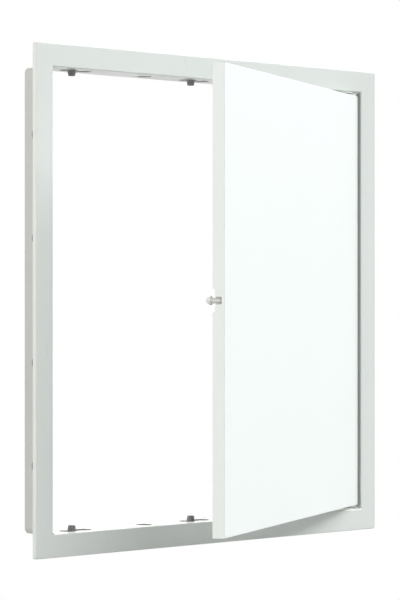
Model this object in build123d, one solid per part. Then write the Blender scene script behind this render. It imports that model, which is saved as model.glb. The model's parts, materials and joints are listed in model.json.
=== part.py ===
from build123d import *
import os

# Square access panel: a folded door on two vertical pivots, in a flanged frame.
# Millimetres. +X right, +Y into the wall, +Z up. The wall's face is y = 0.
# The origin lies on the back of the bottom flange, at the middle of its turned-in lip.

# Frame
panel_width = 550.0
panel_height = 550.0
flange_width = 25.0
flange_depth = 5.0
flange_corner_radius = 3.0
flange_edge_radius = 1.0
frame_sheet = 1.5
flange_fold_land = 0.15
flange_lip = 10.0
collar_depth = 44.0
collar_bend_radius = 5.0

# Fixing holes and slots in the collar: along the top and bottom the slots are spread evenly between
# their margins, with a hole after each but the last; up the sides the holes lie about the middle
fixing_hole = 17.0
fixing_setback = 24.0
slot_length = 42.0
slot_left_margin = 54.5
slot_right_margin = 78.0
hole_from_slot = 104.5
top_slots = 3
side_inner_spacing = 134.0
side_outer_spacing = 356.0

# Door
door_gap = 5.0
door_thickness = 13.5
door_sheet = 1.2
door_rim_lip = 9.0
door_edge_radius = 0.8
open_angle = 25.0

# Pivots
pivot_inset = 6.0
pivot_setback = 5.0
pin_diameter = 5.0
pin_shoulder_diameter = 9.0
pin_play = 0.08
pivot_plate_thickness = 2.0
pivot_plate_width = 24.0
pivot_plate_depth = 20.0
pivot_plate_radius = 5.0
pivot_block_width = 12.0
pivot_block_height = 14.0
seat_clearance = 0.3

# Latch peg on the door
peg_inset = 5.0
peg_head_diameter = 9.2
peg_tip_diameter = 4.5
peg_neck_diameter = 5.8
peg_root_diameter = 4.0
peg_head_length = 5.4
peg_shoulder = 1.6
peg_tip_round = 0.6
peg_reach = 8.1
peg_root = 2.0
notch_mouth = 26.0
notch_floor = 22.0
notch_depth = 2.7
peg_slot_height = 7.7
peg_slot_depth = 9.8
holder_width = 13.0
holder_height = 26.0
holder_base = 2.0
holder_cheek = 2.0
holder_boss_stand = 1.5

# Latch keeper on the collar
keeper_length = 18.0
keeper_overhang = 2.0
keeper_cheek = 3.0
keeper_play = 0.5
keeper_clearance = 5.0
keeper_pocket_depth = 12.0
keeper_flare = 1.0
keeper_round = 1.0
keeper_ear_height = 9.0
keeper_ear_thickness = 2.5

# Stop clips
stop_offset = -6.2
stop_base_diameter = 9.6
stop_tip_diameter = 7.2
stop_height = 6.0
stop_tip_round = 0.8
stop_clearance = 5.0
clip_plate_lap = 2.5
clip_plate_thickness = 1.2
clip_plate_round = 2.0
clip_neck_play = 0.3

# Places worked out from the sizes above
opening_width = panel_width - 2 * flange_width
opening_height = panel_height - 2 * flange_width
centre_z = panel_height / 2 - flange_lip / 2
front_y = -flange_depth
collar_rear_y = front_y + collar_depth
fixing_y = front_y + fixing_setback
top_pitch = (opening_width - slot_left_margin - slot_right_margin) / (top_slots - 1)
door_width = opening_width - 2 * door_gap
door_height = opening_height - 2 * door_gap
door_rear_y = front_y + door_thickness
door_back_of_skin_y = front_y + door_sheet
pivot_x = door_width / 2 - pivot_inset
pivot_y = front_y + pivot_setback
peg_x = -door_width / 2 + peg_inset
peg_seat_y = door_rear_y - peg_slot_depth + holder_boss_stand


def block(x0, x1, y0, y1, z0, z1):
    """Box between two corners, with z measured from the panel's centre."""
    middle = Pos((x0 + x1) / 2, (y0 + y1) / 2, centre_z + (z0 + z1) / 2)
    return middle * Box(x1 - x0, y1 - y0, z1 - z0)


def facing(sketch, front, depth):
    """Extrudes a sketch drawn in the panel's plane from y = front, back into the wall."""
    plane = Plane.XZ.offset(-front)
    return Pos(0, 0, centre_z) * extrude(plane * sketch, amount=-depth)


def upright(diameter, x, y, z0, z1):
    """Vertical cylinder between two heights above the panel's centre."""
    return Pos(x, y, centre_z + (z0 + z1) / 2) * Cylinder(diameter / 2, z1 - z0)


def into_wall(diameter, x, y0, y1):
    """Cylinder along the wall's depth, level with the panel's centre."""
    return Pos(x, (y0 + y1) / 2, centre_z) * Rot(90, 0, 0) * Cylinder(diameter / 2, y1 - y0)


def mitred(ring, width, height, inset, front, depth):
    """Cuts a rectangular ring into its four rails at 45 degree mitres."""
    right = width / 2
    top = height / 2
    corners = [(-right, -top), (right, -top), (right, top), (-right, top)]
    inner = [(-right + inset, -top + inset), (right - inset, -top + inset),
             (right - inset, top - inset), (-right + inset, top - inset)]
    rails = []
    for side in range(4):
        after = (side + 1) % 4
        outline = Polygon(corners[side], corners[after], inner[after], inner[side], align=None)
        rails.append(ring & facing(outline, front, depth))
    return dict(zip(["bottom", "right", "top", "left"], rails))


def flange_rails():
    """Face frame folded from sheet: front plate with a rolled inner edge, outside return, turned-in lip."""
    outside = facing(RectangleRounded(panel_width, panel_height, flange_corner_radius), front_y, flange_depth)
    front_edges = outside.faces().sort_by(Axis.Y)[0].edges()
    outside = fillet(front_edges, flange_edge_radius)
    hollow_radius = flange_corner_radius - frame_sheet
    hollow = facing(
        RectangleRounded(panel_width - 2 * frame_sheet, panel_height - 2 * frame_sheet, hollow_radius),
        front_y + frame_sheet, flange_depth - 2 * frame_sheet)
    back = facing(Rectangle(panel_width - 2 * flange_lip, panel_height - 2 * flange_lip),
                  -frame_sheet, frame_sheet)
    opening = facing(Rectangle(opening_width, opening_height), front_y, flange_depth)
    ring = outside - hollow - back - opening
    front_face = ring.faces().sort_by(Axis.Y)[0]
    ring = fillet(front_face.inner_wires()[0].edges(), frame_sheet - flange_fold_land)
    return mitred(ring, panel_width, panel_height, flange_width, front_y, flange_depth)


def collar_ring():
    """Strip bent into a ring behind the flange, with rounded corners."""
    inside = RectangleRounded(opening_width, opening_height, collar_bend_radius)
    outside = RectangleRounded(opening_width + 2 * frame_sheet, opening_height + 2 * frame_sheet,
                               collar_bend_radius + frame_sheet)
    return facing(outside - inside, front_y + frame_sheet, collar_depth - frame_sheet)


def collar_side(side):
    """Left (-1) or right (+1) collar wall with its two corner bends and four fixing holes."""
    inner = opening_width / 2
    outer = inner + frame_sheet
    reach = opening_height / 2 + frame_sheet
    low_x, high_x = sorted([side * (inner - collar_bend_radius), side * outer])
    wall = collar_ring() & block(low_x, high_x, front_y, collar_rear_y, -reach, reach)
    for spacing in [side_inner_spacing, side_outer_spacing]:
        for z in [-spacing / 2, spacing / 2]:
            across = Pos(side * (inner + outer) / 2, fixing_y, centre_z + z) * Rot(0, 90, 0)
            wall -= across * Cylinder(fixing_hole / 2, 2 * frame_sheet)
    return wall


def slot_x(number):
    return -opening_width / 2 + slot_left_margin + number * top_pitch


def collar_level(side):
    """Top (+1) or bottom (-1) collar wall, flat between the bends, with slots, holes and the pin's hole."""
    inner = opening_height / 2
    outer = inner + frame_sheet
    low_z, high_z = sorted([side * inner, side * outer])
    half = opening_width / 2 - collar_bend_radius
    wall = collar_ring() & block(-half, half, front_y, collar_rear_y, low_z, high_z)
    for number in range(top_slots):
        floor = Plane.XY.offset(centre_z + low_z)
        slot = floor * (Pos(slot_x(number), fixing_y) * SlotOverall(slot_length, fixing_hole))
        wall -= extrude(slot, amount=frame_sheet)
    for number in range(top_slots - 1):
        wall -= upright(fixing_hole, slot_x(number) + hole_from_slot, fixing_y, low_z, high_z)
    return wall - upright(pin_diameter + 2 * pin_play, pivot_x, pivot_y, low_z, high_z)


def stop_clip(number, side):
    """Moulded stop in a slot: a plate outside the collar, a neck through it and a tapered buffer inside."""
    inner = opening_height / 2
    outer = inner + frame_sheet
    x = slot_x(number) + stop_offset
    y = door_rear_y + stop_clearance + stop_base_diameter / 2
    taper = Cone(stop_tip_diameter / 2, stop_base_diameter / 2, stop_height)
    taper = fillet(taper.edges().sort_by(Axis.Z)[0], stop_tip_round)
    buffer = Pos(x, y, centre_z + inner - stop_height / 2) * taper
    half = stop_base_diameter / 2
    reach = fixing_hole / 2 - clip_neck_play
    neck = block(x - half, x + half, fixing_y - reach, fixing_y + reach, inner, outer)
    reach = fixing_hole / 2 + clip_plate_lap
    plate = block(x - half, x + half, fixing_y - reach, fixing_y + reach, outer, outer + clip_plate_thickness)
    plate = fillet(plate.edges().filter_by(Axis.Z), clip_plate_round)
    clip = buffer + neck + plate
    if side < 0:
        clip = clip.mirror(Plane.XY.offset(centre_z))
    return clip


def pivot_plate(side):
    """Plate on the collar's flat, clear of the bend, that takes the door's pivot pin."""
    inner = opening_height / 2
    right = opening_width / 2 - collar_bend_radius - seat_clearance
    plate_y = front_y + frame_sheet
    plate = block(right - pivot_plate_width, right, plate_y, plate_y + pivot_plate_depth,
                  inner - pivot_plate_thickness, inner)
    plate = fillet(plate.edges().filter_by(Axis.Z).group_by(Axis.X)[0], pivot_plate_radius)
    plate -= upright(pin_diameter + 2 * pin_play, pivot_x, pivot_y, inner - pivot_plate_thickness, inner)
    if side < 0:
        plate = plate.mirror(Plane.XY.offset(centre_z))
    return plate


def latch_keeper():
    """Catch on the latch-side wall: two cheeks with a flared mouth for the peg's head, and two ears."""
    wall = -opening_width / 2
    half = peg_head_diameter / 2 + keeper_play
    front = door_rear_y - notch_depth + keeper_clearance
    rear = front + keeper_length
    high = half + keeper_cheek
    body = block(wall, peg_x + keeper_overhang, front, rear, -high, high)
    body = fillet(body.edges().filter_by(Axis.Y).group_by(Axis.X)[-1], keeper_round)
    ear_end = high + keeper_ear_height
    ears = block(wall, wall + keeper_ear_thickness, door_rear_y + keeper_clearance, rear, -ear_end, ear_end)
    ears = fillet(ears.edges().filter_by(Axis.X), 2 * keeper_round)
    floor_y = front + keeper_pocket_depth
    throat_y = front + keeper_flare
    mouth = half + keeper_flare
    outline = Polygon((floor_y, -half), (floor_y, half), (throat_y, half), (front, mouth),
                      (front, -mouth), (throat_y, -half), align=None)
    pocket = Pos(peg_x - half, 0, centre_z) * extrude(Plane.YZ * outline, amount=half + keeper_overhang)
    return body + ears - pocket


def door_skin():
    """Flat front sheet with a softened edge."""
    sheet = facing(Rectangle(door_width, door_height), front_y, door_sheet)
    return fillet(sheet.faces().sort_by(Axis.Y)[0].edges(), door_edge_radius)


def door_rails():
    """Edge channels of the door: a return behind the skin and a turned-in lip at the back."""
    depth = door_thickness - door_sheet
    outside = facing(Rectangle(door_width, door_height), door_back_of_skin_y, depth)
    hollow = facing(Rectangle(door_width - 2 * door_sheet, door_height - 2 * door_sheet),
                    door_back_of_skin_y, depth - door_sheet)
    back = facing(Rectangle(door_width - 2 * door_rim_lip, door_height - 2 * door_rim_lip),
                  door_rear_y - door_sheet, door_sheet)
    rails = mitred(outside - hollow - back, door_width, door_height, door_rim_lip,
                   door_back_of_skin_y, depth)
    edge = -door_width / 2
    floor_y = door_rear_y - notch_depth
    outline = Polygon((door_rear_y, -notch_mouth / 2), (door_rear_y, notch_mouth / 2),
                      (floor_y, notch_floor / 2), (floor_y, -notch_floor / 2), align=None)
    rails["left"] -= Pos(edge, 0, centre_z) * extrude(Plane.YZ * outline, amount=door_rim_lip)
    half = peg_slot_height / 2
    rails["left"] -= block(edge, edge + door_rim_lip, door_rear_y - peg_slot_depth, door_rear_y, -half, half)
    top = door_height / 2
    for side, name in [(1, "top"), (-1, "bottom")]:
        low_z, high_z = sorted([side * (top - door_sheet), side * top])
        rails[name] -= upright(pin_diameter, pivot_x, pivot_y, low_z, high_z)
    return rails


def pivot_block(side):
    """Block in the door's corner that holds a pivot pin."""
    top = door_height / 2 - door_sheet
    right = door_width / 2 - door_sheet
    body = block(right - pivot_block_width, right, door_back_of_skin_y, door_rear_y - door_sheet,
                 top - pivot_block_height, top)
    body -= upright(pin_diameter, pivot_x, pivot_y, top - pivot_block_height, top)
    if side < 0:
        body = body.mirror(Plane.XY.offset(centre_z))
    return body


def pivot_pin(side):
    """Shouldered pin: fast in the door's block, free in the plate and the collar."""
    top = door_height / 2
    plate = opening_height / 2 - pivot_plate_thickness
    outside = opening_height / 2 + frame_sheet
    pin = upright(pin_diameter, pivot_x, pivot_y, top - door_sheet - pivot_block_height, outside)
    pin += upright(pin_shoulder_diameter, pivot_x, pivot_y, top, plate - seat_clearance)
    if side < 0:
        pin = pin.mirror(Plane.XY.offset(centre_z))
    return pin


def latch_holder():
    """Moulded seat behind the skin, inside the free edge: a base, two cheeks and a boss for the peg."""
    edge = -door_width / 2 + door_sheet
    inside = edge + holder_width
    base_y = door_back_of_skin_y + holder_base
    half = holder_height / 2
    cheek_low = peg_neck_diameter / 2 + seat_clearance
    cheek_high = cheek_low + holder_cheek
    seat = block(edge, inside, door_back_of_skin_y, base_y, -half, half)
    for side in [-1, 1]:
        low_z, high_z = sorted([side * cheek_low, side * cheek_high])
        seat += block(edge, inside, base_y, door_rear_y - notch_depth - seat_clearance, low_z, high_z)
    boss_radius = peg_inset - door_sheet - seat_clearance
    seat += into_wall(2 * boss_radius, peg_x, base_y, peg_seat_y)
    return seat - into_wall(peg_root_diameter, peg_x, peg_seat_y - peg_root, peg_seat_y)


def latch_peg():
    """Peg turned about its own axis: root, shank, shouldered head, taper and flat tip, pointing into the wall."""
    root = peg_seat_y - peg_root
    tip = door_rear_y + peg_reach
    head = tip - peg_head_length
    root_radius = peg_root_diameter / 2
    neck_radius = peg_neck_diameter / 2
    head_radius = peg_head_diameter / 2
    half_section = Polygon((0, root), (root_radius, root), (root_radius, peg_seat_y), (neck_radius, peg_seat_y),
                           (neck_radius, head), (head_radius, head), (head_radius, head + peg_shoulder),
                           (peg_tip_diameter / 2, tip), (0, tip), align=None)
    peg = revolve(half_section, axis=Axis.Y)
    peg = fillet(peg.edges().filter_by(GeomType.CIRCLE).group_by(Axis.Y)[-1], peg_tip_round)
    return Pos(peg_x, 0, centre_z) * peg


frame_parts = {}
for place, rail in flange_rails().items():
    frame_parts["flange_" + place] = rail
for place, side in [("left", -1), ("right", 1)]:
    frame_parts["collar_" + place] = collar_side(side)
for place, side in [("bottom", -1), ("top", 1)]:
    frame_parts["collar_" + place] = collar_level(side)
    frame_parts["pivot_plate_" + place] = pivot_plate(side)
    for number in range(top_slots):
        frame_parts[f"stop_clip_{place}_{number + 1}"] = stop_clip(number, side)
frame_parts["latch_keeper"] = latch_keeper()

# Door, modelled shut and then swung to the angle that it rests at
rail_names = {"top": "top", "bottom": "bottom", "left": "free", "right": "hinge"}
door_parts = {"door_skin": door_skin(), "latch_holder": latch_holder(), "latch_peg": latch_peg()}
for place, rail in door_rails().items():
    door_parts["door_rim_" + rail_names[place]] = rail
for place, side in [("bottom", -1), ("top", 1)]:
    door_parts["pivot_block_" + place] = pivot_block(side)
    door_parts["pivot_pin_" + place] = pivot_pin(side)
hinge_line = Axis((pivot_x, pivot_y, 0), (0, 0, 1))

os.makedirs("parts", exist_ok=True)
for name, shape in frame_parts.items():
    export_step(shape, f"parts/{name}.step")
for name, shape in door_parts.items():
    export_step(shape.rotate(hinge_line, open_angle), f"parts/{name}.step")
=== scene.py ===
import json
import math

import bpy
import numpy as np
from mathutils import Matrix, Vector


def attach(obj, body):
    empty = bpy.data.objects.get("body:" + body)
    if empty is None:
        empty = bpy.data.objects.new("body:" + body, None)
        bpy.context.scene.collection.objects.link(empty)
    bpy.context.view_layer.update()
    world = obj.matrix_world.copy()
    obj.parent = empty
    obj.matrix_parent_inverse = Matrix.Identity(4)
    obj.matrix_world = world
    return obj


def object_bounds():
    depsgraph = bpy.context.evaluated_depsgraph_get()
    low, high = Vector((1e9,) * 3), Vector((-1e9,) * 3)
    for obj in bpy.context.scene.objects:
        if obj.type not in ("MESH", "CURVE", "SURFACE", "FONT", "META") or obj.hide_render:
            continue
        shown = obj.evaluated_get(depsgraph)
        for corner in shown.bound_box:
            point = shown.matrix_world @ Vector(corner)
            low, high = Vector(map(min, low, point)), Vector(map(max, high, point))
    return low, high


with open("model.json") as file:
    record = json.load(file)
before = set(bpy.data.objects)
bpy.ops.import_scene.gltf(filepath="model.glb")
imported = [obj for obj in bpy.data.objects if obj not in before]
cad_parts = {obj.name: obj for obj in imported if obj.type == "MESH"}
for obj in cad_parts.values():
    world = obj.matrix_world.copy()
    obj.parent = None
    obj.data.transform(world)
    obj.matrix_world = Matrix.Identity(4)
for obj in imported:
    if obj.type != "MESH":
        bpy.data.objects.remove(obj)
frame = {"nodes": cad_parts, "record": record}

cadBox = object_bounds()  # box of the solids alone, before anything is added
solids = frame["nodes"]
record = frame["record"]
scene = bpy.context.scene
print("frame loaded:", len(solids), "solids")

mm = 0.001  # all other lengths are in metres
mounts = {mount["name"]: mount for mount in record["mounts"]}
doorNodes = record["behaviour"]["bodies"]["door"]
joint = record["behaviour"]["joints"][0]
hinge = {"x": joint["pos_m"][0], "y": joint["pos_m"][1], "open": math.radians(-joint["range_deg"][0])}
middleHeight = joint["pos_m"][2]


# points turned about the pins' axis
def turned(points, angle):
    x = points[..., 0] - hinge["x"]
    y = points[..., 1] - hinge["y"]
    turnedX = hinge["x"] + math.cos(angle) * x - math.sin(angle) * y
    turnedY = hinge["y"] + math.sin(angle) * x + math.cos(angle) * y
    return np.stack([turnedX, turnedY, points[..., 2]], axis=-1)


# points of the shut door, swung to the angle that it rests at
def swung(points):
    return turned(points, hinge["open"])


# where a solid ends on each of its six sides; a piece of the door is measured with the door shut
def sidesOf(node):
    mesh = solids[node].data
    flat = np.empty(3 * len(mesh.vertices))
    mesh.vertices.foreach_get("co", flat)
    points = flat.reshape(-1, 3)
    if node in doorNodes:
        points = turned(points, -hinge["open"])
    low = points.min(axis=0).tolist()
    high = points.max(axis=0).tolist()
    return {"left": low[0], "front": low[1], "foot": low[2],
            "right": high[0], "back": high[1], "top": high[2]}


# shader sums written as plain expressions: a wire is one output socket
class Wire:
    def __init__(self, tree, socket=None):
        self.tree = tree
        self.socket = socket

    # any node: its type, its settings, then values or wires for its sockets
    def node(self, kind, settings, sockets, out=0):
        made = self.tree.nodes.new("ShaderNode" + kind)
        for name, value in settings.items():
            setattr(made, name, value)
        for name, value in sockets.items():
            self.join(value, made.inputs[name])
        return Wire(self.tree, made.outputs[out])

    def join(self, value, socket):
        if isinstance(value, Wire):
            self.tree.links.new(value.socket, socket)
        else:
            socket.default_value = value

    def maths(self, operation, first, second):
        return self.node("Math", {"operation": operation}, {0: first, 1: second})

    def __add__(self, other):
        return self.maths("ADD", self, other)

    def __radd__(self, other):
        return self.maths("ADD", other, self)

    def __sub__(self, other):
        return self.maths("SUBTRACT", self, other)

    def __rsub__(self, other):
        return self.maths("SUBTRACT", other, self)

    def __mul__(self, other):
        return self.maths("MULTIPLY", self, other)

    def __rmul__(self, other):
        return self.maths("MULTIPLY", other, self)

    def __truediv__(self, other):
        return self.maths("DIVIDE", self, other)

    def __rtruediv__(self, other):
        return self.maths("DIVIDE", other, self)

    def __pow__(self, other):
        return self.maths("POWER", self, other)

    def __rpow__(self, other):
        return self.maths("POWER", other, self)

    def __abs__(self):
        return self.maths("ABSOLUTE", self, 0.0)

    def least(self, other):
        return self.maths("MINIMUM", self, other)

    def most(self, other):
        return self.maths("MAXIMUM", self, other)

    # 1 up to the edge, falling to 0 over the width after it
    def fade(self, edge, width):
        return self.node("Clamp", {}, {"Value": (edge + width - self) / width})

    def parts(self):
        split = self.node("SeparateXYZ", {}, {"Vector": self})
        return [Wire(self.tree, socket) for socket in split.socket.node.outputs]

    def stretched(self, sizes):
        return self.node("VectorMath", {"operation": "MULTIPLY"}, {0: self, 1: sizes})

    def noise(self, scale, detail):
        return self.node("TexNoise", {}, {"Vector": self, "Scale": scale, "Detail": detail})

    # a colour between two, by this share; 6, 7 and 2 are the mixing node's colour sockets
    def between(self, low, high):
        return self.node("Mix", {"data_type": "RGBA"}, {0: self, 6: low, 7: high}, 2)

    # this height as a bump of that depth in metres, over a bump made before
    def bump(self, depth, before=None):
        sockets = {"Strength": 1.0, "Distance": depth, "Height": self}
        if before:
            sockets["Normal"] = before
        return self.node("Bump", {}, sockets)


noiseMiddle = 0.5  # the value that noise drifts about


def startMaterial(name, fixed):
    material = bpy.data.materials.new(name)
    material.use_nodes = True
    shader = material.node_tree.nodes["Principled BSDF"]
    for socket, value in fixed.items():
        shader.inputs[socket].default_value = value
    place = Wire(material.node_tree).node("TexCoord", {}, {}, "Object")
    return material, shader, place


def dress(shader, colour, rough, skin):
    for socket, wire in (("Base Color", colour), ("Roughness", rough), ("Normal", skin)):
        wire.join(wire, shader.inputs[socket])


def tinted(colour, share):
    return tuple(part * share for part in colour) + (1.0,)


# a colour that drifts by its spread either way, by this share
def clouded(share, colour, spread):
    return share.between(tinted(colour, 1 - spread), tinted(colour, 1 + spread))


# what all powder coats have in common; an edge is the noise value where a mark begins or ends
coat = {"cloudPart": 0.7, "grainPart": 0.3, "lineEdge": 0.002, "lineSoft": 0.004, "lineTint": 0.6,
        "patchEdge": 0.55, "patchSoft": 0.08, "smudgeEdge": 0.52, "smudgeSoft": 0.2, "groundSpread": 0.15}


# hairline handling marks: thin lines where stretched noise crosses its middle, kept only in patches
def hairlines(place, look):
    ridge = abs(place.stretched(look["lineStretch"]).noise(look["lineScale"], detail=3.0) - noiseMiddle)
    patch = 1.0 - place.noise(look["patchScale"], detail=2.0).fade(coat["patchEdge"], coat["patchSoft"])
    return ridge.fade(coat["lineEdge"], coat["lineSoft"]) * patch


# powder coat: clouded colour, sparkle of grain, orange peel over slow waves in the sheet, faint marks,
# and a darker, rougher share given by the piece's own mask: rubbed bare round the pins on frame and door,
# darkened hole and slot walls on the collar
def powderCoat(name, look, darkShare):
    material, shader, place = startMaterial(name, {"IOR": look["ior"]})
    cloud = place.noise(look["cloudScale"], detail=3.0)
    grain = place.noise(look["grainScale"], detail=1.0)
    smudge = 1.0 - place.noise(look["smudgeScale"], detail=4.0).fade(coat["smudgeEdge"], coat["smudgeSoft"])
    line = hairlines(place, look)
    paint = clouded(coat["cloudPart"] * cloud + coat["grainPart"] * grain, look["paint"], look["spread"])
    paint = (line * look["lineShade"]).between(paint, tinted(look["paint"], coat["lineTint"]))
    rough = look["rough"] + (cloud - noiseMiddle) * look["roughSpread"]
    rough = rough + (grain - noiseMiddle) * look["roughSpread"]
    rough = rough + smudge * look["smudgeRough"] - line * look["lineGloss"]
    darkened = darkShare(place)
    paint = darkened.between(paint, clouded(grain, look["ground"], coat["groundSpread"]))
    rough = rough + darkened * look["groundRough"]
    skin = place.noise(look["waveScale"], detail=1.0).bump(look["waveHeight"])
    skin = place.noise(look["peelScale"], detail=2.0).bump(look["peelHeight"], skin)
    dress(shader, paint, rough, skin)
    return material


nylon = {"scuffEdge": 0.45, "scuffSoft": 0.15, "scuffTint": 0.6, "scuffRough": 0.15}


# moulded nylon: flow clouding, a fine spark-eroded grain from the tool, and a scuffed share
def mouldedNylon(name, look, scuffShare):
    material, shader, place = startMaterial(name, {"IOR": look["ior"]})
    flow = place.noise(look["flowScale"], detail=3.0)
    grain = place.noise(look["grainScale"], detail=2.0)
    scuff = scuffShare(place) * (1.0 - grain.fade(nylon["scuffEdge"], nylon["scuffSoft"]))
    dye = clouded(flow, look["dye"], look["spread"])
    dye = (scuff * nylon["scuffTint"]).between(dye, tinted(look["scuff"], 1.0))
    rough = look["rough"] + (grain - noiseMiddle) * look["roughSpread"] + scuff * nylon["scuffRough"]
    dress(shader, dye, rough, grain.bump(look["grainHeight"]))
    return material


zinc = {"fleckEdge": 0.62, "fleckSoft": 0.06, "fleckTint": 0.5, "fleckShade": 0.45, "fleckRough": 0.2,
        "ringBend": 0.6}


# zinc plated steel: cloudy plating with darker flecks over the fine rings left by turning
def turnedSteel(name, look):
    material, shader, place = startMaterial(name, {"Metallic": 1.0})
    bands = {"Vector": place, "Scale": look["ringScale"], "Distortion": zinc["ringBend"], "Detail": 1.0}
    rings = place.node("TexWave", {"wave_type": "BANDS", "bands_direction": "Z"}, bands, "Fac")
    plating = place.noise(look["cloudScale"], detail=3.0)
    fleck = 1.0 - place.noise(look["fleckScale"], detail=2.0).fade(zinc["fleckEdge"], zinc["fleckSoft"])
    metal = clouded(plating, look["metal"], look["spread"])
    metal = (fleck * zinc["fleckTint"]).between(metal, tinted(look["metal"], zinc["fleckShade"]))
    rough = look["rough"] + (plating - noiseMiddle) * look["roughSpread"] + fleck * zinc["fleckRough"]
    dress(shader, metal, rough, rings.bump(look["ringHeight"]))
    return material


# distance from the pins' axis
def fromPins(x, y):
    across = x - hinge["x"]
    inward = y - hinge["y"]
    return (across * across + inward * inward) ** 0.5


# holes that the mounts don't state: slots beside the clips that sit in them, and the pins' own
cuts = {"clips": ("stop_clip_top_1", "stop_clip_top_2", "stop_clip_top_3"), "besideClip": 0.0014,
        "slotHalf": 0.0125, "pinRadius": 0.00258, "soft": 0.00025}


# share darkened on the collar: 1 on the walls of its holes and slots, found from the distance
# to each hole's axis, or to the middle line of a slot, less the radius
def cutEdges(place):
    x, y, z = place.parts()
    level = mounts["top_holes"]
    along = abs(abs(x - level["pos_m"][0]) - level["dims"]["spacing_x_mm"] * mm / 2)
    for name in ("left_inner_holes", "left_outer_holes"):
        along = along.least(abs(abs(z - middleHeight) - mounts[name]["dims"]["spacing_y_mm"] * mm / 2))
    for clip in cuts["clips"]:
        slotMiddle = sidesOf(clip)["right"] + cuts["besideClip"]
        along = along.least((abs(x - slotMiddle) - cuts["slotHalf"]).most(0.0))
    inward = y - level["pos_m"][1]
    apart = (inward * inward + along * along) ** 0.5 - level["dims"]["hole_r_mm"] * mm
    apart = apart.least(fromPins(x, y) - cuts["pinRadius"])
    return apart.fade(0.0, cuts["soft"])


# rubbed places: how far each one reaches past, or stays inside, the solid that it belongs to
rubs = {"pastShoulder": 0.0001, "shoulderSoft": 0.0006, "insideOpening": 0.0005, "openingSoft": 0.0004,
        "evenPart": 0.4, "patchyPart": 0.6, "patchScale": 1500.0,
        "pastDoor": 0.0055, "doorSoft": 0.0012, "latchHalf": 0.0045, "latchSoft": 0.003}


# share rubbed bare round the pins by the door's shoulders, inside the opening only
def shoulderRub(place):
    x, y, z = place.parts()
    shoulder = sidesOf("pivot_pin_top")["right"] - hinge["x"]
    opening = sidesOf("collar_top")["foot"] - middleHeight
    near = fromPins(x, y).fade(shoulder + rubs["pastShoulder"], rubs["shoulderSoft"])
    inside = abs(z - middleHeight).fade(opening - rubs["insideOpening"], rubs["openingSoft"])
    patches = place.noise(rubs["patchScale"], detail=2.0)
    return near * inside * (rubs["evenPart"] + rubs["patchyPart"] * patches)


# scuffs on a stop where the shut door lands, at its front
def doorScuff(place):
    inward = place.parts()[1]
    return inward.fade(sidesOf("door_rim_top")["back"] + rubs["pastDoor"], rubs["doorSoft"])


# rubbed band on the latch: strongest level with the panel's middle, where head and cheeks meet
def latchRub(place):
    upright = place.parts()[2]
    return abs(upright - middleHeight).fade(rubs["latchHalf"], rubs["latchSoft"])


finishes = {
    "frame_coat": powderCoat("frameCoat", {
        "paint": (0.790, 0.830, 0.801), "spread": 0.010, "ior": 1.5, "rough": 0.32, "roughSpread": 0.08,
        "cloudScale": 7.0, "grainScale": 900.0, "peelScale": 420.0, "peelHeight": 0.000008,
        "waveScale": 9.0, "waveHeight": 0.0003, "smudgeScale": 26.0, "smudgeRough": 0.05,
        "lineStretch": (1.0, 1.0, 0.06), "lineScale": 150.0, "lineShade": 0.10, "lineGloss": 0.08,
        "patchScale": 14.0, "ground": (0.36, 0.36, 0.35), "groundRough": 0.12}, shoulderRub),
    # collar coat: the same white paint made darker, painted shade over the whole collar behind the flange
    "collar_coat": powderCoat("collarCoat", {
        "paint": (0.582, 0.598, 0.573), "spread": 0.018, "ior": 1.5, "rough": 0.34, "roughSpread": 0.10,
        "cloudScale": 11.0, "grainScale": 900.0, "peelScale": 380.0, "peelHeight": 0.00001,
        "waveScale": 12.0, "waveHeight": 0.0003, "smudgeScale": 30.0, "smudgeRough": 0.08,
        "lineStretch": (0.06, 1.0, 0.06), "lineScale": 170.0, "lineShade": 0.20, "lineGloss": 0.10,
        "patchScale": 17.0, "ground": (0.28, 0.285, 0.28), "groundRough": 0.20}, cutEdges),
    # door coat: the frame's white paint made lighter, painted light over the whole door
    "door_coat": powderCoat("doorCoat", {
        "paint": (0.906, 0.953, 0.934), "spread": 0.008, "ior": 1.33, "rough": 0.42, "roughSpread": 0.07,
        "cloudScale": 5.0, "grainScale": 900.0, "peelScale": 420.0, "peelHeight": 0.000008,
        "waveScale": 5.0, "waveHeight": 0.0006, "smudgeScale": 18.0, "smudgeRough": 0.05,
        "lineStretch": (1.0, 1.0, 0.08), "lineScale": 120.0, "lineShade": 0.06, "lineGloss": 0.08,
        "patchScale": 9.0, "ground": (0.36, 0.36, 0.35), "groundRough": 0.12}, shoulderRub),
    # dark dye: the stop clips' own colour; the latch holder takes this finish too, and there the dark dye is
    # painted shade in the slot beside the peg
    "clip_plastic": mouldedNylon("clipNylon", {
        "dye": (0.20, 0.207, 0.20), "scuff": (0.42, 0.42, 0.41), "spread": 0.08, "ior": 1.53, "rough": 0.46,
        "roughSpread": 0.15, "flowScale": 120.0, "grainScale": 1800.0, "grainHeight": 0.00003}, doorScuff),
    "latch_plastic": mouldedNylon("latchNylon", {
        "dye": (0.83, 0.84, 0.82), "scuff": (0.76, 0.76, 0.74), "spread": 0.03, "ior": 1.53, "rough": 0.38,
        "roughSpread": 0.1, "flowScale": 90.0, "grainScale": 1600.0, "grainHeight": 0.00002}, latchRub),
    "pin_steel": turnedSteel("pinZinc", {
        "metal": (0.66, 0.66, 0.65), "spread": 0.06, "rough": 0.3, "roughSpread": 0.12,
        "cloudScale": 200.0, "fleckScale": 900.0, "ringScale": 900.0, "ringHeight": 0.00002}),
}
for part in record["subparts"]:
    for holder in solids[part["node"]].material_slots:
        holder.material = finishes[part["material_slot"]]
print("finishes on", len(record["subparts"]), "solids")


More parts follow.
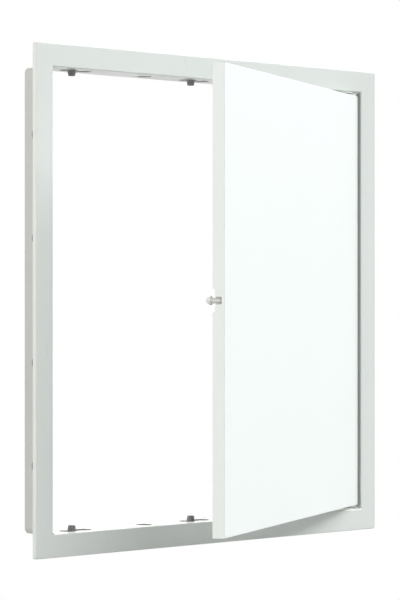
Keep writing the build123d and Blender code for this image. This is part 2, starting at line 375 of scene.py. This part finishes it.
# skin over stacks of rings: neighbouring rings joined by quads, end rings shut by fans; the rings turn
# counter-clockwise about the way that they are stacked, so the faces look outward
def ringSkin(name, stacks, body, slot):
    points = []
    faces = []
    for rings in stacks:
        rows, columns = rings.shape[:2]
        index = len(points) + np.arange(rows * columns).reshape(rows, columns)
        after = np.roll(index, -1, axis=1)
        ends = np.full(columns, index[-1, -1] + 1)
        quads = np.stack([index[:-1], after[:-1], after[1:], index[1:]], axis=-1).reshape(-1, 4)
        low = np.stack([after[0], index[0], ends], axis=-1)
        high = np.stack([index[-1], after[-1], ends + 1], axis=-1)
        points += rings.reshape(-1, 3).tolist() + rings[[0, -1]].mean(axis=1).tolist()
        faces += quads.tolist() + low.tolist() + high.tolist()
    mesh = bpy.data.meshes.new(name)
    mesh.from_pydata(points, [], faces)
    mesh.polygons.foreach_set("use_smooth", np.ones(len(mesh.polygons), dtype=bool))
    mesh.materials.append(finishes[slot])
    piece = bpy.data.objects.new(name, mesh)
    scene.collection.objects.link(piece)
    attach(piece, body)
    print(name, "has", len(faces), "faces")


# grid of a round head: shares of its radius down the rows, turns about its axis along them
def headGrid(shares, around):
    turns = np.linspace(0, 2 * np.pi, around, endpoint=False)
    return np.meshgrid(shares, turns, indexing="ij")


# shares of a head with an upright edge: twice the full radius, then evenly in to the tip
def edgedShares(settings):
    return np.concatenate([[1.0, 1.0], np.linspace(1.0, settings["tip"], settings["rings"])])


# rings of a round head: distances from its axis and heights over its seat, set along the axis
def seated(radii, heights, turns, seat, axis):
    axis = np.array(axis, dtype=float)
    across = np.roll(axis, 1)
    upward = np.cross(axis, across)
    spread = np.cos(turns)[..., None] * across + np.sin(turns)[..., None] * upward
    return np.array(seat) + radii[..., None] * spread + heights[..., None] * axis


# what both kinds of rivet have in common
rivet = {"edge": 0.00015, "sunk": 0.0003, "ringAt": 0.55, "ringWide": 0.12,
         "tip": 0.02, "rings": 14, "around": 32}


# set rivet: the height over the seat falls with the square of the distance from the axis, less the ring
# that the setting tool leaves, a narrow bell about half way out
def rivetRings(settings, seat, axis):
    share, turns = headGrid(edgedShares(rivet), rivet["around"])
    bell = np.exp(-((share - rivet["ringAt"]) / rivet["ringWide"]) ** 2)
    heights = rivet["edge"] + settings["rise"] * (1 - share ** 2) - settings["ring"] * bell
    heights[0] = -rivet["sunk"]
    heights[1] = rivet["edge"] / 2
    return seated(settings["radius"] * share, heights, turns, seat, axis)


plateRivet = {"radius": 0.0022, "rise": 0.0006, "ring": 0.00006, "fromEnd": 0.0058, "fromSide": 0.0055}
rivets = []
for plate, face, way in (("pivot_plate_top", "foot", -1), ("pivot_plate_bottom", "top", 1)):
    sides = sidesOf(plate)
    for inward in (sides["front"] + plateRivet["fromSide"], sides["back"] - plateRivet["fromSide"]):
        seat = (sides["left"] + plateRivet["fromEnd"], inward, sides[face])
        rivets.append(rivetRings(plateRivet, seat, (0, 0, way)))
ringSkin("plateRivets", rivets, "frame", "pin_steel")

holderStud = {"radius": 0.0018, "rise": 0.0005, "ring": 0.00005, "base": 0.002, "fromEnd": 0.0038}
sides = sidesOf("latch_holder")
studs = []
for height in (sides["foot"] + holderStud["fromEnd"], sides["top"] - holderStud["fromEnd"]):
    seat = ((sides["left"] + sides["right"]) / 2, sides["front"] + holderStud["base"], height)
    studs.append(swung(rivetRings(holderStud, seat, (0, 1, 0))))
ringSkin("holderStuds", studs, "door", "pin_steel")


# pan head screw: the height falls with the fourth power of the distance from the axis; a cross is sunk
# where the distance to the nearer arm is under its half width and the reach isn't passed
def screwRings(settings, seat, axis):
    share, turns = headGrid(edgedShares(settings), settings["around"])
    radii = settings["radius"] * share
    toArm = np.minimum(abs(radii * np.sin(turns)), abs(radii * np.cos(turns)))
    inArm = np.clip((settings["armHalf"] - toArm) / settings["soft"], 0, 1)
    inReach = np.clip((settings["armReach"] - radii) / settings["soft"], 0, 1)
    heights = settings["edge"] + settings["rise"] * (1 - share ** 4) - settings["sink"] * inArm * inReach
    heights[0] = -settings["sunk"]
    heights[1] = settings["edge"] / 2
    return seated(radii, heights, turns, seat, axis)


keeperScrew = {"radius": 0.0026, "rise": 0.0008, "edge": 0.0005, "sunk": 0.0003,
               "armHalf": 0.00055, "armReach": 0.0016, "soft": 0.00022, "sink": 0.0009,
               "tip": 0.02, "rings": 34, "around": 72, "ear": 0.0025, "fromBack": 0.0076, "fromEnd": 0.0045}
sides = sidesOf("latch_keeper")
screws = []
for height in (sides["foot"] + keeperScrew["fromEnd"], sides["top"] - keeperScrew["fromEnd"]):
    seat = (sides["left"] + keeperScrew["ear"], sides["back"] - keeperScrew["fromBack"], height)
    screws.append(screwRings(keeperScrew, seat, (1, 0, 0)))
ringSkin("keeperScrews", screws, "frame", "pin_steel")


# push-on cap over a pin's end: a quarter ellipse from brim to crown, with shallow pressed grooves, as
# many as a high power of a cosine has crests in one turn, that fade out towards the middle
def capRings(settings, seat, axis):
    rising = np.linspace(0, settings["crownTurn"], settings["rings"])
    share, turns = headGrid(np.concatenate([[1.0], np.cos(rising)]), settings["around"])
    dome = np.sqrt(np.clip(1 - share ** 2, 0, 1))
    crest = np.cos(settings["grooves"] / 2 * turns) ** settings["narrow"]
    heights = settings["brim"] + settings["rise"] * dome - settings["sink"] * share ** 2 * dome * crest
    heights[0] = 0.0
    return seated(settings["radius"] * share, heights, turns, seat, axis)


pinCap = {"radius": 0.0046, "rise": 0.0011, "brim": 0.0004, "sink": 0.0009, "grooves": 6, "narrow": 8,
          "crownTurn": 0.49 * np.pi, "rings": 18, "around": 72}
caps = []
for pin, end, way in (("pivot_pin_top", "top", 1), ("pivot_pin_bottom", "foot", -1)):
    caps.append(capRings(pinCap, (hinge["x"], hinge["y"], sidesOf(pin)[end]), (0, 0, way)))
ringSkin("pinCaps", caps, "door", "pin_steel")

# what both kinds of weld have in common
bead = {"endShrink": 0.96, "wander": 0.8, "wanderTurns": 5}


# weld bead: a closed section swept along a straight run; it swells and sinks with each ripple, and
# shrinks at both ends with the root of one less the fourth power of the way along
def beadRings(section, settings, seat, along, upward):
    along = np.array(along, dtype=float)
    upward = np.array(upward, dtype=float)
    sideways = np.cross(upward, along)
    way = np.linspace(-1, 1, settings["steps"])
    ripple = 2 * np.pi * settings["ripples"] * way + bead["wander"] * np.sin(bead["wanderTurns"] * way)
    size = np.sqrt(np.clip(1 - bead["endShrink"] * way ** 4, 0, 1))
    size = size * (1 + settings["swell"] * np.cos(ripple))
    across = size[:, None, None] * section[None, :, 0, None] * sideways
    risen = size[:, None, None] * section[None, :, 1, None] * upward
    return np.array(seat) + way[:, None, None] * settings["half"] * along + across + risen


# section in the corner behind the flange: a bulged slope between both legs, shut inside the sheet
def cornerSection(settings):
    leg, sunk = settings["leg"], settings["sunk"]
    share = np.linspace(0, 1, settings["corners"])
    lift = 4 * settings["bulge"] * share * (1 - share)
    slope = np.stack([leg * (1 - share) + lift, leg * share + lift], axis=1)
    return np.concatenate([slope, [[-sunk, leg], [-sunk, -sunk], [leg, -sunk]]])


footTack = {"leg": 0.0016, "bulge": 0.00016, "sunk": 0.0003, "corners": 8, "half": 0.009, "steps": 61,
            "swell": 0.06, "ripples": 6, "spots": (-0.212, -0.124, 0.0, 0.124, 0.212)}
section = cornerSection(footTack)
foot = sidesOf("collar_left")["front"]
walls = ((-1, sidesOf("collar_left")["left"], sidesOf("collar_bottom")["foot"]),
         (1, sidesOf("collar_right")["right"], sidesOf("collar_top")["top"]))
tacks = []
for spot in footTack["spots"]:
    for side, wall, level in walls:
        uprightSeat = (wall, foot, middleHeight + spot)
        levelSeat = (spot, foot, level)
        tacks.append(beadRings(section, footTack, uprightSeat, (0, 0, side), (0, 1, 0)))
        tacks.append(beadRings(section, footTack, levelSeat, (-side, 0, 0), (0, 1, 0)))
ringSkin("footTacks", tacks, "frame", "frame_coat")


# section of a low bead on a flat: half an ellipse, shut just under the face
def flatSection(settings):
    half, sunk = settings["halfWidth"], settings["sunk"]
    turns = np.linspace(0, np.pi, settings["corners"])
    crown = np.stack([half * np.cos(turns), settings["rise"] * np.sin(turns)], axis=1)
    return np.concatenate([crown, [[-half, -sunk], [half, -sunk]]])


mitreBead = {"halfWidth": 0.0013, "rise": 0.0004, "sunk": 0.0003, "corners": 11, "half": 0.0046, "steps": 49,
             "swell": 0.07, "ripples": 4, "inset": 0.0048}
section = flatSection(mitreBead)
face = sidesOf("door_rim_free")["back"]
diagonal = math.sqrt(0.5)
beads = []
for across, edge in ((-1, sidesOf("door_rim_free")["left"]), (1, sidesOf("door_rim_hinge")["right"])):
    for upright, end in ((-1, sidesOf("door_rim_bottom")["foot"]), (1, sidesOf("door_rim_top")["top"])):
        seat = (edge - across * mitreBead["inset"], face, end - upright * mitreBead["inset"])
        inward = (-across * diagonal, 0.0, -upright * diagonal)
        beads.append(swung(beadRings(section, mitreBead, seat, inward, (0, 1, 0))))
ringSkin("mitreBeads", beads, "door", "door_coat")
print("small pieces added")

# studio: pale floor well under the panel, white surround and soft boxes
studio = {"floorDrop": 0.35, "floorHalf": 30.0, "floorRows": 3, "floorPale": (0.42, 0.42, 0.42, 1.0),
          "floorRough": 0.9, "floorGlow": 1.0,
          "white": (1.0, 1.0, 1.0, 1.0), "surround": 0.0, "surroundSeen": 1.0}


# square floor, a level grid of tiles; to the camera it glows as white as the surround
def layFloor(settings):
    rows = settings["floorRows"]
    across = np.linspace(-settings["floorHalf"], settings["floorHalf"], rows)
    x, y = np.meshgrid(across, across)
    level = np.full_like(x, cadBox[0].z - settings["floorDrop"])
    points = np.stack([x, y, level], axis=-1).reshape(-1, 3)
    corner = np.arange(rows * rows).reshape(rows, rows)[:-1, :-1].ravel()
    faces = np.stack([corner, corner + 1, corner + rows + 1, corner + rows], axis=1)
    mesh = bpy.data.meshes.new("floor")
    mesh.from_pydata(points.tolist(), [], faces.tolist())
    floor = bpy.data.objects.new("floor", mesh)
    scene.collection.objects.link(floor)
    fixed = {"Roughness": settings["floorRough"], "Base Color": settings["floorPale"]}
    material, shader, place = startMaterial("paleFloor", fixed)
    plain = Wire(material.node_tree, shader.outputs[0])
    glow = place.node("Emission", {}, {"Strength": settings["floorGlow"]})
    seen = place.node("LightPath", {}, {}, "Is Camera Ray")
    mixed = place.node("MixShader", {}, {0: seen, 1: plain, 2: glow})
    place.join(mixed, material.node_tree.nodes["Material Output"].inputs["Surface"])
    material.cycles.emission_sampling = "NONE"  # no light comes from the glow, so none is looked for
    mesh.materials.append(material)


# the surround is white to the eye and in reflections, and gives no other light
def paintSurround(settings):
    world = bpy.data.worlds.new("surround")
    scene.world = world
    world.use_nodes = True
    wire = Wire(world.node_tree)
    dim = wire.node("Background", {}, {"Color": settings["white"], "Strength": settings["surround"]})
    bright = wire.node("Background", {}, {"Color": settings["white"], "Strength": settings["surroundSeen"]})
    toCamera = wire.node("LightPath", {}, {}, "Is Camera Ray")
    toGloss = wire.node("LightPath", {}, {}, "Is Glossy Ray")
    mixed = wire.node("MixShader", {}, {0: toCamera.most(toGloss), 1: dim, 2: bright})
    wire.join(mixed, world.node_tree.nodes["World Output"].inputs["Surface"])
    world.cycles.sampling_method = "NONE"  # reflections find it by themselves


tints = {"warm": (1.026, 1.0, 0.955), "cool": (0.995, 1.0, 1.0),
         "cold": (0.99, 1.0, 1.01), "plain": (1.0, 1.0, 1.0)}
softBoxes = {  # from: degrees to the right of the front, and over the level
    "farLeftBox": {"from": (-110.0, 10.0), "distance": 6.0, "size": 4.6, "watts": 240.0, "tint": "warm"},
    "leftBox": {"from": (-75.0, 10.0), "distance": 6.0, "size": 4.6, "watts": 38.0, "tint": "warm"},
    "frontBox": {"from": (0.0, 45.0), "distance": 24.0, "size": 18.4, "watts": 4113.0, "tint": "cool"},
    "highBox": {"from": (45.0, 45.0), "distance": 24.0, "size": 18.4, "watts": 224.0, "tint": "cool"},
    "keyBox": {"from": (60.0, 30.0), "distance": 24.0, "size": 6.48, "watts": 1678.0, "tint": "cold"},
    "rightBox": {"from": (80.0, 20.0), "distance": 24.0, "size": 6.48, "watts": 1321.0, "tint": "cold"},
    "highBackBox": {"from": (120.0, 35.0), "distance": 24.0, "size": 18.4, "watts": 2807.0, "tint": "plain"},
    "lowBackBox": {"from": (145.0, -10.0), "distance": 2.6, "size": 2.0, "watts": 14.2, "tint": "plain"},
}


# square lamp that looks at the middle of the part's box
def hangSoftBox(name, settings):
    turn, lift = (math.radians(angle) for angle in settings["from"])
    away = Vector((math.sin(turn) * math.cos(lift), -math.cos(turn) * math.cos(lift), math.sin(lift)))
    lamp = bpy.data.lights.new(name, "AREA")
    lamp.size = settings["size"]
    lamp.energy = settings["watts"]
    lamp.color = tints[settings["tint"]]
    box = bpy.data.objects.new(name, lamp)
    box.location = (cadBox[0] + cadBox[1]) / 2 + away * settings["distance"]
    box.rotation_euler = (-away).to_track_quat("-Z", "Y").to_euler()
    box.visible_camera = False
    scene.collection.objects.link(box)


layFloor(studio)
paintSurround(studio)
for name, settings in softBoxes.items():
    hangSoftBox(name, settings)
scene.view_settings.view_transform = "Standard"
print("studio lit by", len(softBoxes), "soft boxes")

shot = {"aim": (-0.02622, -0.00468, 0.27062), "yaw": 45.48, "distance": 3.025, "lens": 161.0, "sensor": 36.0}


# camera level with the panel's middle, off to its left
def setCamera(settings):
    yaw = math.radians(settings["yaw"])
    ahead = Vector((math.sin(yaw), math.cos(yaw), 0.0))
    lens = bpy.data.cameras.new("camera")
    lens.lens = settings["lens"]
    lens.sensor_width = settings["sensor"]
    camera = bpy.data.objects.new("camera", lens)
    camera.location = Vector(settings["aim"]) - ahead * settings["distance"]
    camera.rotation_euler = ahead.to_track_quat("-Z", "Y").to_euler()
    scene.collection.objects.link(camera)
    scene.camera = camera


setCamera(shot)
print("camera set")
